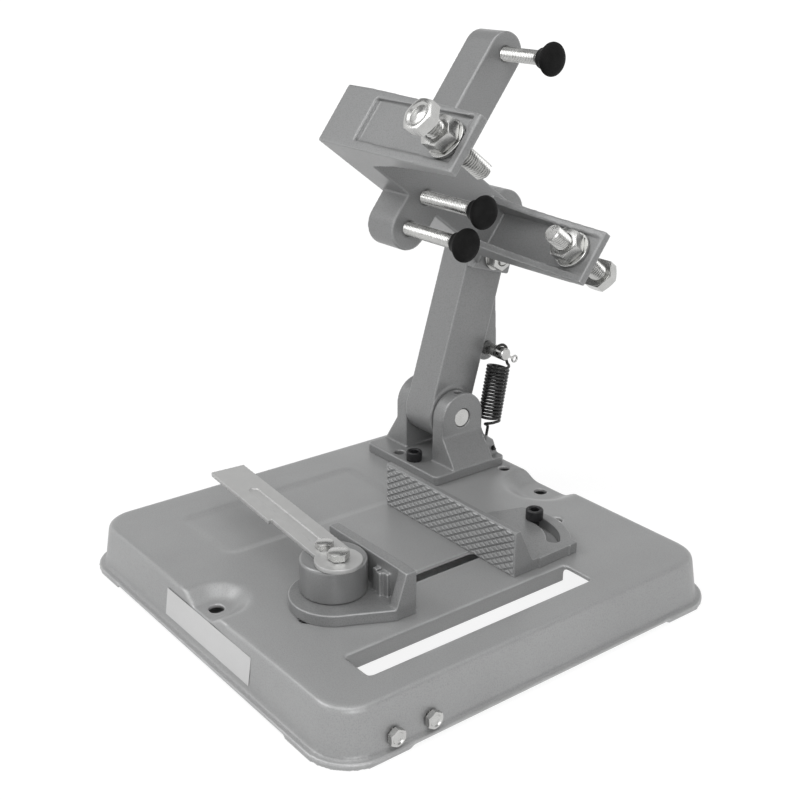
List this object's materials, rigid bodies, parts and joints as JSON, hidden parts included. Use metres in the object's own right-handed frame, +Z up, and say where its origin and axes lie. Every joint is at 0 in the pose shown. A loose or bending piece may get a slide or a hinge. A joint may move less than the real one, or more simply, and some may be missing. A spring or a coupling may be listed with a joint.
{
  "type": "angle grinder cut-off stand",
  "caption": "Bench stand that carries a small angle grinder on a sprung swinging arm, over a pressed tray with a disc slot, a mitre fence and a cam-lever clamp.",
  "frame": {"origin": "middle of the tray, on the bench under it", "axes": "+X to the right, the side of the disc slot, +Y to the back, the side of the arm, +Z up"},
  "size_m": [0.2558, 0.2691, 0.2932],
  "materials": {
    "tray_paint": "satin",
    "casting_paint": "satin",
    "zinc": "bright zinc",
    "black_screw": "black oxide",
    "spring_steel": "black",
    "rubber_cap": "matt",
    "cam_paint": "satin",
    "lever_sheet": "satin"
  },
  "bodies": {
    "tray": {"base_tray": "tray_paint", "wall_bolts": "zinc", "wall_nuts": "zinc", "clevis_bracket": "casting_paint", "bracket_screws": "black_screw", "bracket_nuts": "zinc", "pivot_pin": "zinc", "pin_grub_screw": "black_screw", "fence_pivot_screw": "black_screw", "fence_slot_screw": "black_screw", "fence_nuts": "zinc", "spring_right": "spring_steel", "spring_left": "spring_steel"},
    "swing_arm": {"arm": "casting_paint", "spring_pin": "zinc", "split_pins": "zinc", "grinder_holder": "casting_paint", "holder_bolts": "zinc", "holder_washers": "zinc", "holder_nuts": "zinc", "jam_nut_front": "zinc", "jam_nut_rear": "zinc", "jam_washers": "zinc"},
    "support_top": {"support_screw_top": "zinc", "rubber_cap_top": "rubber_cap"},
    "support_middle": {"support_screw_middle": "zinc", "rubber_cap_middle": "rubber_cap"},
    "support_lower": {"support_screw_lower": "zinc", "rubber_cap_lower": "rubber_cap"},
    "front_grinder_bolt": {"grinder_bolt_front": "zinc"},
    "rear_grinder_bolt": {"grinder_bolt_rear": "zinc"},
    "mitre_fence": {"fence": "casting_paint"},
    "clamp_carriage": {"clamp_bolt": "zinc", "clamp_washer": "zinc", "clamp_nut": "zinc"},
    "cam_lever": {"clamp_cam": "cam_paint", "clamp_lever": "lever_sheet", "lever_screw": "zinc"},
    "jaw": {"clamp_jaw": "casting_paint"}
  },
  "joints": [
    {"name": "arm_swing", "type": "hinge", "parent": "tray", "child": "swing_arm", "pos_m": [-0.0704, 0.0903, 0.0613], "axis": [1, 0, 0], "range_deg": [0, 60], "stiffness_Nm_per_rad": 1.6, "springref_deg": -51.57, "deforming": ["spring_right", "spring_left"]},
    {"name": "support_top_travel", "type": "slide", "parent": "swing_arm", "child": "support_top", "axis": [1, 0, 0], "range_m": [-0.012, 0.008]},
    {"name": "support_middle_travel", "type": "slide", "parent": "swing_arm", "child": "support_middle", "axis": [1, 0, 0], "range_m": [-0.012, 0.008]},
    {"name": "support_lower_travel", "type": "slide", "parent": "swing_arm", "child": "support_lower", "axis": [1, 0, 0], "range_m": [-0.012, 0.008]},
    {"name": "front_bolt_travel", "type": "slide", "parent": "swing_arm", "child": "front_grinder_bolt", "axis": [0, 0.7986, -0.6018], "range_m": [-0.01, 0.006]},
    {"name": "rear_bolt_travel", "type": "slide", "parent": "swing_arm", "child": "rear_grinder_bolt", "axis": [0, -0.7986, 0.6018], "range_m": [-0.008, 0.018]},
    {"name": "fence_turn", "type": "hinge", "parent": "tray", "child": "mitre_fence", "pos_m": [0.0444, 0.039, 0.0274], "axis": [0, 0, 1], "range_deg": [0, 45]},
    {"name": "clamp_slide", "type": "slide", "parent": "tray", "child": "clamp_carriage", "axis": [0, -1, 0], "range_m": [-0.055, 0.02]},
    {"name": "lever_turn", "type": "hinge", "parent": "clamp_carriage", "child": "cam_lever", "pos_m": [0.0434, -0.068, 0.0519], "axis": [0, 0, -1], "range_deg": [-45, 30]},
    {"name": "jaw_press", "type": "slide", "parent": "clamp_carriage", "child": "jaw", "axis": [0, 1, 0], "range_m": [-0.0056, 0.0038]}
  ],
  "couplings": [
    {"joint": "jaw_press", "follows": "lever_turn", "m_per_rad": 0.0064}
  ]
}
